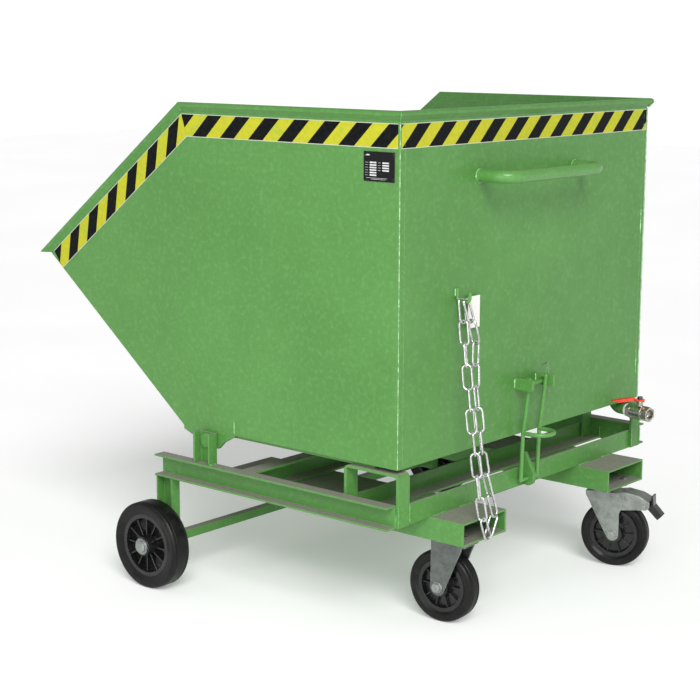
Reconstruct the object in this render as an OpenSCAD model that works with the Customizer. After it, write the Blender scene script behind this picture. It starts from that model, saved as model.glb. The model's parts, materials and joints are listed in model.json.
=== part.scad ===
// Tipping chip skip on a wheeled chassis with fork pockets: a sheet-steel tank
// that tips forward over its lip, a channel chassis, two fixed wheels in front,
// two swivel castors behind, a foot latch, a drain valve and a safety chain.
// +X points to the push handle (rear), -Y to the side with the rating plate, +Z up.
// The origin is on the floor, under the middle of the overall box.

/* [Tank] */
// Outside width over the side panels
tank_w = 944; // [900:1:960]
// Length of the flat floor, rear wall to front bend
floor_len = 622; // [500:1:640]
// Height of the underside of the tank above the floor
tank_z = 372; // [372:1:380]
// Height of the upper edge of the panels, where the rim starts
panel_top = 1080; // [900:1:1200]
// Length of the level part of the upper edge
top_len = 615; // [500:1:640]
// Slope of the front wall above the horizontal
front_deg = 38.4; // [36:0.1:42]
// Slope of the falling upper edge
fall_deg = 37.5; // [35:0.1:40]
// Thickness of the tank sheet
sheet = 3; // [2:0.5:4]
// Height of the folded rim above the panel edge
rim_h = 20; // [16:1:24]
// How far the rim stands out from the panel
rim_out = 10; // [6:1:12]
// Width of the warning tape
tape_w = 50; // [40:1:60]

/* [Chassis] */
// Outside width over the rails
frame_w = 1012; // [1008:1:1040]
// Length of the rails
rail_len = 686; // [660:1:720]
// Height of the underside of the rails
rail_z = 250; // [250:1:250]
// Height of the rail channel
rail_h = 50; // [45:1:52]
// Flange width of the rail channel
rail_f = 30; // [28:1:32]
// Sheet thickness of the channels
chan_t = 4; // [3:0.5:5]

/* [Fork pockets] */
// Outside width of one pocket
pocket_w = 154; // [150:1:180]
// Outside height of one pocket
pocket_h = 50; // [50:1:50]
// Distance between the pocket centres
pocket_gap = 566; // [540:1:600]
// How far the pockets stand out behind the rails
pocket_out = 86; // [84:1:90]
// Length of one pocket
pocket_len = 686; // [600:1:700]

/* [Wheels] */
// Diameter of the fixed front wheels
wheel_d = 200; // [190:1:206]
// Width of the front tyres
wheel_w = 50; // [44:1:50]
// Distance from the rear end of the rails to the front axle
axle_back = 661; // [650:1:665]
// Distance between the front wheel centres
track = 1084; // [1084:1:1100]
// Diameter of the castor wheels
castor_d = 160; // [150:1:164]
// Width of the castor tyres
castor_w = 40; // [36:1:40]
// Trail of the castors
trail = 37; // [34:1:44]
// Direction in which the left castor trails
castor_left_yaw = 184; // [0:1:359]
// Direction in which the right castor trails
castor_right_yaw = 16; // [0:1:359]

/* [Handle, latch and valve] */
// Diameter of the handle tube
handle_d = 27; // [25:0.5:30]
// How far the handle axis stands out from the rear wall
handle_out = 77; // [70:1:95]
// Diameter of the latch bar
bail_d = 9; // [8:0.5:10]
// Outside diameter of the drain pipe
pipe_d = 26.9; // [26:0.1:28]
// Turn of the drain outlet away from straight back
drain_yaw = -10; // [-14:1:0]

/* [Chain] */
// Wire diameter of the chain
wire_d = 5; // [4.5:0.5:5]
// Clear length of a link
pitch = 46.6; // [46.6:0.2:47]

/* [Hidden] */
$fn = 64;
e = 0.3;                       // gap between pieces that move past each other
hairline = 0.02;               // joint between the mitred lengths of the rim
center_x = -467.3;             // middle of the overall box, from the rear wall
hw = tank_w / 2;
rim_top = panel_top + rim_h;
lip_x = -(rim_span(tank_z) + floor_len);
lip_z = tank_z + rim_span(tank_z) * tan(front_deg);
// run of the front wall up to the falling edge
function rim_span(z) = (panel_top - z - (floor_len - top_len) * tan(fall_deg))
    / (tan(front_deg) + tan(fall_deg));
rail_y = frame_w / 2;
web_y = rail_y - rail_f;       // back of the rail web, towards the middle
pin_x = -539;                  // tipping axis
pin_z = 352;
pin_d = 20;
axle_z = wheel_d / 2;
axle_d = 20;
castor_z = castor_d / 2;
castor_x = 21;                 // king pin of the castors
castor_y = pocket_gap / 2;
plate_t = 4;
leg_gap = 48;                  // clear width between the fork legs
latch_x = 14;                  // hinge of the latch bar
latch_z = 268;
latch_y = -16;
bail_half = 32;                // half the distance between the two latch rods
catch_x = 20;                  // axis of the catch bar
catch_z = 482;
catch_half = 41;               // half the distance between the catch plates
catch_deep = 48;
catch_t = 6;
handle_y = [-205, 158];        // the two feet of the handle
handle_z = 957;
handle_r = 42;
drain_x = -38;
drain_y = 424;
drain_z = 350;
hook_x = 19.8;                 // middle of the chain hook
hook_y = -281;
hook_z = 701;
hook_d = 7;
green = [0.41, 0.64, 0.36];
zinc = [0.72, 0.74, 0.72];
black = [0.09, 0.09, 0.09];

// ---------- helpers ----------

// puts a part that is drawn from the rear wall into the part's frame
module placed() { translate([-center_x, 0, 0]) children(); }

// both sides, left (-Y) first
module both_sides() { children(); mirror([0, 1, 0]) children(); }

// an outline drawn in X and Z, given a thickness along Y from y0 to y1
module slab(y0, y1) { translate([0, y1, 0]) rotate([90, 0, 0]) linear_extrude(y1 - y0) children(); }

// a cylinder along Y from y0 to y1
module rod_y(x, z, d, y0, y1) { translate([x, y0, z]) rotate([-90, 0, 0]) cylinder(h = y1 - y0, d = d); }

// a straight round bar between two points
module bar(a, b, d) {
    v = b - a;
    len = norm(v);
    translate(a) rotate([0, acos(v[2] / len), atan2(v[1], v[0])]) cylinder(h = len, d = d);
}

// a bar through points, with a slightly swollen ball where it turns
module bent_bar(pts, d) {
    for (i = [0 : len(pts) - 2]) bar(pts[i], pts[i + 1], d);
    for (i = [1 : len(pts) - 2]) knuckle(pts[i], d);
}
module knuckle(p, d) { translate(p) sphere(d = d + 0.5); }

function arc(c, r, a0, a1, n) = [for (i = [0 : n]) let (a = a0 + (a1 - a0) * i / n) c + r * [cos(a), sin(a)]];

// ---------- tank ----------

function side_outline() = [[0, tank_z], [-floor_len, tank_z], [lip_x, lip_z],
    [-top_len, panel_top], [0, panel_top]];

// a side panel with its upright edge folded round the rear corner
module side_panel() {
    fold = 16;
    r = 5;
    slab(-hw, -hw + sheet) polygon([[-r, tank_z], [-floor_len, tank_z], [lip_x, lip_z],
        [-top_len, panel_top], [-r, panel_top]]);
    translate([0, 0, tank_z]) linear_extrude(panel_top - tank_z)
        polygon(concat([[-r, -hw + sheet], [-r, -hw]],
            arc([-r, -hw + r], r, -90, 0, 6),
            [[0, -hw + fold], [-sheet, -hw + fold]],
            arc([-r, -hw + r], r - sheet, 0, -90, 6)));
}

module tank_side_left() { color(green) placed() side_panel(); }
module tank_side_right() { color(green) placed() mirror([0, 1, 0]) side_panel(); }

// rear wall, floor and front wall from one folded sheet, with the drain hole
module tank_shell() {
    n = sheet * [sin(front_deg), cos(front_deg)];
    fold_x = -floor_len + sheet * tan(front_deg / 2);
    color(green) placed() difference() {
        union() {
            slab(-hw + sheet, hw - sheet) polygon([[-sheet, tank_z], [-floor_len, tank_z],
                [lip_x, lip_z], [lip_x, lip_z] + n, [fold_x, tank_z + sheet], [-sheet, tank_z + sheet]]);
            translate([-sheet, -hw + 16, tank_z]) cube([sheet, tank_w - 32, panel_top - tank_z]);
        }
        translate([drain_x, drain_y, tank_z - 1]) cylinder(h = sheet + 2, d = 20);
    }
}

// section of the rim: a fold that leans out, with a rounded upper edge
module rim_section() {
    r = 6;
    polygon(concat([[-sheet, 0], [0, 0], [rim_out, rim_out + 1]],
        arc([rim_out - r, rim_h - r], r, 0, 90, 6), [[-sheet, rim_h]]));
}

module rim_run(length) { mirror([0, 1, 0]) rotate([90, 0, 90]) linear_extrude(length) rim_section(); }

module rim_side() {
    far = 2000;
    bend = [-top_len, panel_top];
    mitre = 250 * [-sin(fall_deg / 2), cos(fall_deg / 2)];
    // level run, mitred at the bend and at the rear corner
    intersection() {
        translate([-top_len - 60, -hw, panel_top]) rim_run(top_len + 120);
        translate([hairline, 0, 0]) slab(-hw - 50, -hw + 50) polygon([bend - mitre, bend + mitre,
            [100, bend[1] + mitre[1]], [100, bend[1] - mitre[1]]]);
        translate([0, -hw, 0]) linear_extrude(far)
            polygon([[-far, -far], [far, -far], [sheet, -sheet], [-sheet, sheet], [-far, sheet]]);
    }
    // falling run, cut off level at the lip
    intersection() {
        translate([lip_x, -hw, lip_z]) rotate([0, -fall_deg, 0]) translate([-60, 0, 0]) rim_run(800);
        slab(-hw - 50, -hw + 50) polygon([[-far, lip_z], [-top_len, lip_z], bend, bend + mitre, [-far, far]]);
    }
}

module rim_rear() {
    far = 600;
    intersection() {
        translate([0, -far, panel_top]) rotate([0, 0, 90]) rim_run(2 * far);
        translate([hairline, 0, 0]) linear_extrude(2000)
            polygon([[-sheet, -hw + sheet], [40, -hw - 40], [40, hw + 40], [-sheet, hw - sheet]]);
    }
}

module tank_rim() { color(green) placed() { both_sides() rim_side(); rim_rear(); } }

// flat bar across the pouring lip
module lip_bar() {
    color(green) placed() translate([lip_x, 0, lip_z]) slab(-hw + sheet, hw - sheet)
        polygon(concat([[-0.2, 0], [-2.4, 3 - 0.2], [-2, 6]], arc([-29, 3], 3, 90, 270, 8)));
}

// two flat bars under the floor that lie on the rests
module floor_skids() {
    color(green) placed() both_sides() translate([-520, -hw + 10, tank_z - 8]) cube([452, 30, 8]);
}

module pivot_lugs() {
    x = pin_x;
    z = tank_z;
    color(green) placed() both_sides() difference() {
        slab(-hw, -hw + 8) polygon([[-floor_len, z], [-floor_len, z - 8], [x - 48, z - 20], [x - 26, z - 38],
            [x + 26, z - 38], [x + 42, z - 22], [x + 60, z - 12], [x + 80, z]]);
        rod_y(pin_x, pin_z, pin_d, -hw - 1, -hw + 9);
    }
}

// pins held in the lugs that turn in the posts
module pivot_pins() {
    color(zinc) placed() both_sides() {
        rod_y(pin_x, pin_z, pin_d, -web_y - chan_t - 3, -hw + 12);
        rod_y(pin_x, pin_z, 30, -web_y - chan_t - 8, -web_y - chan_t - e);
        rod_y(pin_x, pin_z, 28, -hw + 8, -hw + 12);
    }
}

// yellow and black film under the rim, on three sides
module hazard_tape() {
    film = 0.4;
    drop = 5;
    t = tan(fall_deg / 2);
    n = [sin(fall_deg), -cos(fall_deg)];
    function level(d) = [-top_len + d * t, panel_top - d];
    function fall(d) = let (p = [lip_x, lip_z], s = (d / cos(fall_deg)) / (tan(front_deg) + tan(fall_deg)))
        p + [s, -s * tan(front_deg)];
    color([0.85, 0.8, 0.1]) placed() {
        both_sides() slab(-hw - film, -hw) polygon([level(drop), level(drop + tape_w),
            fall(drop + tape_w), fall(drop)]);
        both_sides() slab(-hw - film, -hw) polygon([level(drop), level(drop + tape_w),
            [-6, panel_top - drop - tape_w], [-6, panel_top - drop]]);
        translate([0, -hw + 6, panel_top - drop - tape_w]) cube([film, tank_w - 12, tape_w]);
    }
}

module rating_plate() {
    color(black) placed() translate([-93, -hw - 1, 958]) difference() {
        cube([80, 1, 60]);
        for (x = [5, 75], z = [5, 55]) rod_y(x, z, 3, -1, 2);
    }
}

module plate_rivets() {
    color(zinc) placed() for (x = [5, 75], z = [5, 55])
        translate([-93 + x, -hw, 958 + z]) rotate([90, 0, 0]) {
            cylinder(h = 1.2, d = 3);
            translate([0, 0, 1]) intersection() {
                cylinder(h = 2, d = 6);
                translate([0, 0, -3.4]) sphere(r = 4.6);
            }
        }
}

// round tube with two bends, welded to the rear wall
module push_handle() {
    a = handle_y[0];
    b = handle_y[1];
    r = handle_r;
    x = handle_out;
    module tube(d) {
        for (y = [a, b]) translate([-1, y, 0]) rotate([0, 90, 0]) cylinder(h = x - r + 1, d = d);
        translate([x, a + r, 0]) rotate([-90, 0, 0]) cylinder(h = b - a - 2 * r, d = d);
        translate([x - r, a + r, 0]) rotate([0, 0, -90]) rotate_extrude(angle = 90)
            translate([r, 0]) circle(d = d);
        translate([x - r, b - r, 0]) rotate_extrude(angle = 90) translate([r, 0]) circle(d = d);
    }
    color(green) placed() translate([0, 0, handle_z]) intersection() {
        difference() { tube(handle_d); tube(handle_d - 5); }
        translate([0, -500, -50]) cube([200, 1000, 100]);
    }
}

// round bar bent to an open U, with its inner arm against the rear wall
module chain_hook() {
    r = 9;
    arm = hook_d / 2 + 0.1;                  // axis of the inner arm
    half = hook_x - arm - r;                 // half the straight bottom of the U
    color(green) placed() translate([hook_x, hook_y, hook_z]) {
        translate([-half, 0, 0]) rotate([0, 90, 0]) cylinder(h = 2 * half, d = hook_d);
        for (m = [0, 1]) mirror([m, 0, 0]) translate([half, 0, r]) {
            rotate([90, 0, 0]) rotate([0, 0, -90]) rotate_extrude(angle = 90)
                translate([r, 0]) circle(d = hook_d);
            translate([r, 0, 0]) cylinder(h = m == 0 ? 12 : 18, d = hook_d);
        }
    }
}

// two upright plates on the rear wall that carry the catch bar
module catch_plates() {
    low = catch_z - 6;
    high = catch_z + 20;
    t = catch_t / 2;
    color(green) placed() for (s = [-1, 1]) difference() {
        slab(latch_y + s * catch_half - t, latch_y + s * catch_half + t) polygon([[0, low + 3], [0, high],
            [catch_deep - 3, high], [catch_deep, high - 3], [catch_deep, low + 3],
            [catch_deep - 3, low], [3, low]]);
        rod_y(catch_x, catch_z + 4, 10, latch_y + s * catch_half - 5, latch_y + s * catch_half + 5);
    }
}

module catch_bar() {
    t = catch_t / 2;
    color(green) placed() rod_y(catch_x, catch_z + 4, 10, latch_y - catch_half - t, latch_y + catch_half + t);
}

// perforated cover over the drain hole
module drain_strainer() {
    w = 120;
    color(zinc) placed() translate([-sheet - 1 - w, drain_y - 75, tank_z + sheet]) difference() {
        union() {
            translate([0, 0, 12]) cube([w, w, 2]);
            for (x = [0, w - 2]) translate([x, 0, 0]) cube([2, w, 14]);
            for (y = [0, w - 2]) translate([0, y, 0]) cube([w, 2, 14]);
        }
        for (i = [1 : 7], j = [1 : 7]) translate([i * 15, j * 15, 5]) cylinder(h = 12, d = 8, $fn = 24);
    }
}

// ---------- drain ----------

// local axes of the outlet: x along the pipe, origin under the drain hole
module drain_frame() { placed() translate([drain_x, drain_y, drain_z]) rotate([0, 0, drain_yaw]) children(); }

seal_x = 43;                   // end of the pipe
module drain_elbow() {
    r = tank_z - drain_z + 1;
    color(green) drain_frame() difference() {
        union() {
            translate([r, 0, r]) rotate([90, 0, 0]) rotate([0, 0, 180]) rotate_extrude(angle = 90)
                translate([r, 0]) circle(d = pipe_d);
            translate([r, 0, 0]) rotate([0, 90, 0]) cylinder(h = seal_x - r, d = pipe_d);
        }
        translate([r, 0, r]) rotate([90, 0, 0]) rotate([0, 0, 180]) rotate_extrude(angle = 90)
            translate([r, 0]) circle(d = 20);
        translate([r, 0, 0]) rotate([0, 90, 0]) cylinder(h = 60, d = 20);
        translate([-100, -100, r - 1]) cube([200, 200, 50]);
    }
}

module pipe_seal() {
    color([0.93, 0.93, 0.9]) drain_frame() translate([seal_x, 0, 0]) rotate([0, 90, 0]) difference() {
        cylinder(h = 7, d = 31);
        translate([0, 0, -1]) cylinder(h = 10, d = 20);
    }
}

valve_x = seal_x + 7;          // inlet face of the valve, along the pipe
stem_x = valve_x + 33;         // stem axis, along the pipe
lever_z = 30;                  // underside of the lever above the pipe axis
module valve_body() {
    color(zinc) drain_frame() difference() {
        union() {
            translate([valve_x, 0, 0]) rotate([0, 90, 0]) cylinder(h = 12, d = 37, $fn = 6);
            translate([valve_x + 12, 0, 0]) rotate([0, 90, 0]) cylinder(h = 4, d = 33);
            translate([valve_x + 16, 0, 0]) rotate([0, 90, 0]) cylinder(h = 30, d = 36);
            translate([valve_x + 46, 0, 0]) rotate([0, 90, 0]) cylinder(h = 3, d = 33);
            translate([valve_x + 49, 0, 0]) rotate([0, 90, 0]) cylinder(h = 16, d = 37, $fn = 6);
            translate([stem_x, 0, 10]) cylinder(h = lever_z - 12, d = 16);
        }
        translate([valve_x - 1, 0, 0]) rotate([0, 90, 0]) cylinder(h = 70, d = 20);
        translate([valve_x + 51, 0, 0]) rotate([0, 90, 0]) cylinder(h = 20, d = 24.5);
        translate([stem_x, 0, 0]) sphere(d = 30.6);
        translate([stem_x, 0, 0]) cylinder(h = 40, d = 9.2);
    }
}

module valve_ball() {
    color([0.85, 0.86, 0.86]) drain_frame() translate([stem_x, 0, 0]) difference() {
        sphere(d = 30);
        rotate([90, 0, 0]) translate([0, 0, -20]) cylinder(h = 40, d = 19);
        translate([-8, -2, 11.5]) cube([16, 4, 6]);
    }
}

module valve_stem() {
    color(zinc) drain_frame() translate([stem_x, 0, 0]) {
        translate([-4, -2, 11.7]) cube([8, 4, 4]);
        translate([0, 0, 15.2]) cylinder(h = lever_z - 15.2, d = 9);
        translate([0, 0, lever_z]) cylinder(h = 8, d = 7);
    }
}

// pressed lever, lying across the pipe: closed
module valve_lever() {
    w = 15;
    long = 94;
    t = 3;
    color([0.9, 0.15, 0.05]) drain_frame() translate([stem_x, 0, lever_z]) rotate([0, 0, -90]) difference() {
        union() {
            cylinder(h = t, d = 20);
            slab(-w / 2, w / 2) polygon([[0, 0], [15, 0], [28, 8], [long, 11],
                [long, 11 + t], [27, 8 + t], [14, t], [0, t]]);
            translate([long, 0, 11]) cylinder(h = t, d = w);
            for (s = [-1, 1]) slab(s * (w / 2 - 1) - 1, s * (w / 2 - 1) + 1)
                polygon([[30, 4], [long - 4, 7], [long - 4, 12], [30, 10]]);
            // stop tongue beside the body
            translate([-13, -4, -6]) cube([4, 8, 8]);
        }
        translate([0, 0, -6]) cylinder(h = 12, d = 7);
    }
}

module lever_nut() {
    color(zinc) drain_frame() translate([stem_x, 0, lever_z + 3]) difference() {
        cylinder(h = 6, d = 14, $fn = 6);
        translate([0, 0, -1]) cylinder(h = 10, d = 7);
    }
}

// ---------- chassis ----------

// channel section: back at u = 0, flanges towards +u, height along v
module channel(h, f, t) { difference() { square([f, h]); translate([t, t]) square([f, h - 2 * t]); } }

// left rail, with its web inboard and its flanges outward
module rail() {
    translate([-rail_len, -web_y, rail_z]) mirror([0, 1, 0]) rotate([90, 0, 90]) linear_extrude(rail_len)
        channel(rail_h, rail_f, chan_t);
}
module rail_left() { color(green) placed() rail(); }
module rail_right() { color(green) placed() mirror([0, 1, 0]) rail(); }

module cross_front() {
    color(green) placed() translate([-437, -web_y, rail_z]) rotate([90, 0, 0]) mirror([0, 0, 1])
        linear_extrude(2 * web_y) channel(rail_h, 38, 5);
}

// angle with its level leg towards the rear
module cross_rear() {
    color(green) placed() translate([-148, web_y, rail_z]) rotate([90, 0, 0]) linear_extrude(2 * web_y)
        polygon([[0, 0], [40, 0], [40, 5], [5, 5], [5, 40], [0, 40]]);
}

module rear_plate() { color(green) placed() translate([-5, -web_y, rail_z]) cube([5, 2 * web_y, 44]); }

module fork_pocket(side) {
    t = 4;
    z = rail_z - pocket_h;
    translate([pocket_out - pocket_len, side * castor_y - pocket_w / 2, z]) difference() {
        cube([pocket_len, pocket_w, pocket_h]);
        translate([-1, t, t]) cube([pocket_len + 2, pocket_w - 2 * t, pocket_h - 2 * t]);
        for (x = [-40, 40], y = [-37.5, 37.5])
            translate([pocket_len - pocket_out + castor_x + x, pocket_w / 2 + y, -1])
                cylinder(h = t + 2, d = 9);
    }
}
module fork_pocket_left() { color(green) placed() fork_pocket(-1); }
module fork_pocket_right() { color(green) placed() fork_pocket(1); }

// upright channel, open to the outside, from z0 to z1 with its front flange at x
module upright(x, z0, z1, w) {
    translate([x, -web_y, z0]) rotate([0, 0, -90]) linear_extrude(z1 - z0) channel(w, 25, chan_t);
}

module pivot_posts() {
    color(green) placed() both_sides() difference() {
        upright(pin_x - 25, rail_z + rail_h, tank_z - 1, 50);
        rod_y(pin_x, pin_z, pin_d + 0.1, -web_y - 40, -web_y + 1);
    }
}

// bent flat bar over the end of each rail that the tank lies on
module rest_brackets() {
    t = 6;
    r = 12;
    top = tank_z - 8 - e;
    color(green) placed() both_sides() slab(-web_y, -web_y + 38)
        polygon(concat([[-140, rail_z + 5]], arc([-140 + r, top - r], r, 180, 90, 5),
            arc([t - r, top - r], r, 90, 0, 5), [[t, rail_z + 1], [0, rail_z + 1]],
            arc([t - r, top - r], r - t, 0, 90, 5),
            arc([-140 + r, top - r], r - t, 90, 180, 5), [[-140 + t, rail_z + 5]]));
}

module wheel_legs() {
    color(green) placed() both_sides() difference() {
        upright(-axle_back - 25, axle_z - 22, rail_z, 50);
        rod_y(-axle_back, axle_z, axle_d + 0.1, -web_y - 40, -web_y + 1);
    }
}

// square bar with round ends that carry the wheels
module axle_bar() {
    inner = track / 2 - 30;    // inner face of the wheel hub
    color(green) placed() {
        translate([-axle_back - 10, -web_y, axle_z - 10]) cube([20, 2 * web_y, 20]);
        both_sides() {
            rod_y(-axle_back, axle_z, axle_d, -track / 2 - 36, -web_y + 1);
            rod_y(-axle_back, axle_z, 30, -inner + e, -web_y - chan_t);
        }
    }
}

module axle_caps() {
    outer = track / 2 + 30;
    color(zinc) placed() both_sides() translate([-axle_back, -outer - e, axle_z])
        rotate([90, 0, 0]) difference() {
        union() {
            cylinder(h = 3, d = 37);
            translate([0, 0, 3]) cylinder(h = 5, d = 28);
            translate([0, 0, 8]) intersection() {
                cylinder(h = 4, d = 28);
                translate([0, 0, -24]) sphere(r = 27.7);
            }
        }
        translate([0, 0, -1]) cylinder(h = 6.7, d = axle_d);
    }
}

// ---------- latch ----------

module latch_lug() {
    color(green) placed() difference() {
        slab(latch_y - 5, latch_y + 5) polygon(concat([[0, 326], [0, 252]],
            arc([latch_x, latch_z - 2], 15, 250, 360, 10), [[latch_x + 15, 282], [5, 326]]));
        rod_y(latch_x, latch_z, bail_d + 0.1, latch_y - 6, latch_y + 6);
    }
}

// bent round bar: two upright rods with fingers over the catch bar, and a foot loop
module latch_bail() {
    foot = [17.5, 378];                      // where the rods bend and carry the foot loop
    top = [32, catch_z + 17.5];
    loop_d = bail_d + 0.8;
    reach = 54;
    color(green) placed() {
        for (s = [-1, 1]) {
            y = latch_y + s * bail_half;
            bent_bar([[latch_x, y, latch_z], [foot[0], y, foot[1]], [top[0], y, top[1]],
                [catch_x + 3.5, y, top[1]]], bail_d);
            knuckle([latch_x, y, latch_z], bail_d);
            bar([foot[0], y, foot[1] - 1], [foot[0] + reach - bail_half, y, foot[1] - 1], loop_d);
        }
        rod_y(latch_x, latch_z, bail_d, latch_y - bail_half, latch_y + bail_half);
        translate([foot[0] + reach - bail_half, latch_y, foot[1] - 1]) rotate([0, 0, -90])
            rotate_extrude(angle = 180) translate([bail_half, 0]) circle(d = loop_d);
    }
}

// spring wire that keeps the latch shut
module latch_clip() {
    y = latch_y + catch_half + catch_t / 2 + 1.5;
    color(zinc) placed() bent_bar([[32, y, catch_z - 20], [26, y, catch_z + 46], [12, y, catch_z + 38]], 2.2);
}

// ---------- chain ----------

inner_w = 14;                  // clear width of a link
link_l = pitch + 2 * wire_d;
module link() {
    r = (inner_w + wire_d) / 2;
    s = (link_l - wire_d) / 2 - r;
    for (m = [0, 1]) mirror([m, 0, 0]) translate([s, 0, 0]) rotate([0, 0, -90])
        rotate_extrude(angle = 180) translate([r, 0]) circle(d = wire_d);
    for (y = [-r, r]) translate([-s, y, 0]) rotate([0, 90, 0]) cylinder(h = 2 * s, d = wire_d);
}

// one link with its middle at p, pointing up along v and turned by roll: 0 is flat along Y
module link_at(p, v, roll) {
    w = v / norm(v);
    translate(p) rotate([-asin(w[1]), atan2(w[0], w[2]), 0]) rotate([0, 90, roll]) link();
}

// the two strands, from the hook down past the left fork pocket
hook_top = hook_z + hook_d / 2 + 0.3;
strand_a = [[13.7, hook_y, hook_top], [61.8, -309.2, 477], [98, -312.2, 261.5], [101.1, -291.9, 208]];
strand_b = [[25.2, hook_y, hook_top], [40.9, -264.2, 625], [51, -280, 538], [82, -288, 361],
    [99.8, -265.5, 249]];
links_a = 11;
links_b = 10;
link_step = pitch - 0.2;       // distance from link to link

function path_len(p, i) = i <= 0 ? 0 : path_len(p, i - 1) + norm(p[i] - p[i - 1]);
function along(p, s, i = 1) = (s <= path_len(p, i) || i == len(p) - 1)
    ? p[i - 1] + (p[i] - p[i - 1]) * (s - path_len(p, i - 1)) / norm(p[i] - p[i - 1]) : along(p, s, i + 1);

// each strand twists a little on its way down; both end with a link lying flat along Y
function turn_a(k) = 40 * min(k, 3, links_a - 1 - k) / 3;
function turn_b(k) = 90 * max(0, k - 3) / (links_b - 4);

module link_on(path, k, turn) {
    a = along(path, k * link_step);
    b = along(path, (k + 1) * link_step);
    link_at((a + b) / 2, a - b, 90 * k + turn);
}

// middle of the wire of a link that hangs in the lower end of a strand
function hung_wire(path, count) =
    let (a = along(path, (count - 1) * link_step), b = along(path, count * link_step))
    b + (a - b) / norm(a - b) * (wire_d + pitch - link_step) / 2;

module safety_chain() {
    a = hung_wire(strand_a, links_a);
    b = hung_wire(strand_b, links_b);
    color(zinc) placed() {
        for (k = [0 : links_a - 1]) link_on(strand_a, k, turn_a(k));
        for (k = [0 : links_b - 1]) link_on(strand_b, k, turn_b(k));
        link_at((a + b) / 2, b - a, 86.9);
    }
}

module chain_tag() {
    color([0.95, 0.94, 0.9]) placed() {
        translate([8, -250, 638]) cube([0.8, 42, 68]);
        bar([8.4, -246, 700], [22.4, -268.3, 694], 1.4);
    }
}

// ---------- front wheels ----------

module tyre(d, w, rim_d) {
    r = d / 2;
    s = w / 2;
    rotate([90, 0, 0]) rotate_extrude($fn = 96) polygon(concat([[rim_d / 2, -s + 5], [r - 16, -s + 1]],
        arc([r - 8, -s + 8], 8, 270, 350, 5),
        [[r - 1.2, -s + 9], [r - 1.2, -s + 11.5], [r, -s + 12.5], [r, s - 12.5], [r - 1.2, s - 11.5],
            [r - 1.2, s - 9]],
        arc([r - 8, s - 8], 8, 10, 90, 5), [[r - 16, s - 1], [rim_d / 2, s - 5]]));
}

module rim(d, w, hub_w, bore, ribs) {
    r = d / 2;
    rotate([90, 0, 0]) {
        rotate_extrude($fn = 96) polygon([[bore / 2, -hub_w / 2], [22, -hub_w / 2], [24, -w / 2 + 6], [26, -4],
            [r - 12, -4], [r - 9, -w / 2 + 5], [r, -w / 2 + 5], [r, w / 2 - 5], [r - 9, w / 2 - 5], [r - 12, 4],
            [26, 4], [24, w / 2 - 6], [22, hub_w / 2], [bore / 2, hub_w / 2]]);
        for (i = [0 : ribs - 1]) rotate([0, 0, i * 360 / ribs]) translate([24, -1.5, -w / 2 + 9])
            cube([r - 34, 3, w - 18]);
    }
}

module front_wheel(side) { placed() translate([-axle_back, side * track / 2, axle_z]) children(); }
module front_tyre_left() { color(black) front_wheel(-1) tyre(wheel_d, wheel_w, 144); }
module front_rim_left() { color(black) front_wheel(-1) rim(144, wheel_w, 60, axle_d + 0.1, 12); }
module front_tyre_right() { color(black) front_wheel(1) tyre(wheel_d, wheel_w, 144); }
module front_rim_right() { color(black) front_wheel(1) rim(144, wheel_w, 60, axle_d + 0.1, 12); }

// ---------- castors ----------

fork_top = rail_z - pocket_h - plate_t - 14;   // upper face of the fork crown
module castor(side) {
    yaw = side < 0 ? castor_left_yaw : castor_right_yaw;
    placed() translate([castor_x, side * castor_y, 0]) rotate([0, 0, yaw]) children();
}

// fixed top plates with the upper bearing race and the king pin
module castor_plates() {
    z = rail_z - pocket_h - plate_t;
    color(zinc) placed() both_sides() translate([castor_x, -castor_y, 0]) difference() {
        union() {
            translate([-57.5, -50, z]) cube([115, 100, plate_t]);
            translate([0, 0, z - 6]) cylinder(h = 6, d = 62);
            translate([0, 0, fork_top - 9]) cylinder(h = 20, d = 12);
            translate([0, 0, fork_top - 4 - e - 6]) cylinder(h = 6, d = 28);
        }
        for (x = [-40, 40], y = [-37.5, 37.5]) translate([x, y, z - 1]) cylinder(h = plate_t + 2, d = 9);
    }
}

// four bolts and nuts for each castor
module castor_bolts() {
    z = rail_z - pocket_h;
    color(zinc) placed() both_sides() for (x = [-40, 40], y = [-37.5, 37.5])
        translate([castor_x + x, -castor_y + y, 0]) {
        translate([0, 0, z + 4]) cylinder(h = 5.5, d = 15, $fn = 6);
        translate([0, 0, z - plate_t - 8]) cylinder(h = 14, d = 8);
        translate([0, 0, z - plate_t - 6.5]) difference() {
            cylinder(h = 6.5, d = 15, $fn = 6);
            translate([0, 0, -1]) cylinder(h = 9, d = 8);
        }
    }
}

// crown with the lower race, and two legs that slant back to the axle
module fork(leg, braked) {
    w = leg_gap / 2;
    t = 4;
    difference() {
        union() {
            translate([-30, -w - t, fork_top - 4]) cube([74, leg_gap + 2 * t, 4]);
            translate([0, 0, fork_top]) cylinder(h = 7.7, d = 56);
            for (s = [-1, 1]) slab(s * (w + t / 2) - t / 2, s * (w + t / 2) + t / 2) polygon(leg);
            if (braked) slab(-w - 1, w + 1) polygon([[36, 179], [36, 181], [64, 186], [98, 180.5],
                [122, 168], [122, 163.5], [98, 176], [64, 181.5]]);
        }
        translate([0, 0, fork_top - 14]) cylinder(h = 40, d = 12.1);
        rod_y(trail, castor_z, 12, -w - 10, w + 10);
        if (braked) rod_y(pedal_pin[0], pedal_pin[1], 6.1, -w - 10, w + 10);
    }
}

pedal_pin = [110, 156];
leg_left = concat([[-21, fork_top], [-21, fork_top - 10]], arc([trail, castor_z], 18, 215, 360, 8),
    [[trail + 18, fork_top]]);
leg_right = concat([[-30, fork_top], [-30, fork_top - 9]], arc([trail, castor_z], 15, 205, 360, 8),
    [[trail + 15, 133], [trail + 19, 142], [89, 146], [118, 149], [124, 155], [124, 167], [98, 179.5],
    [64, 185], [44, fork_top]]);

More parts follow.
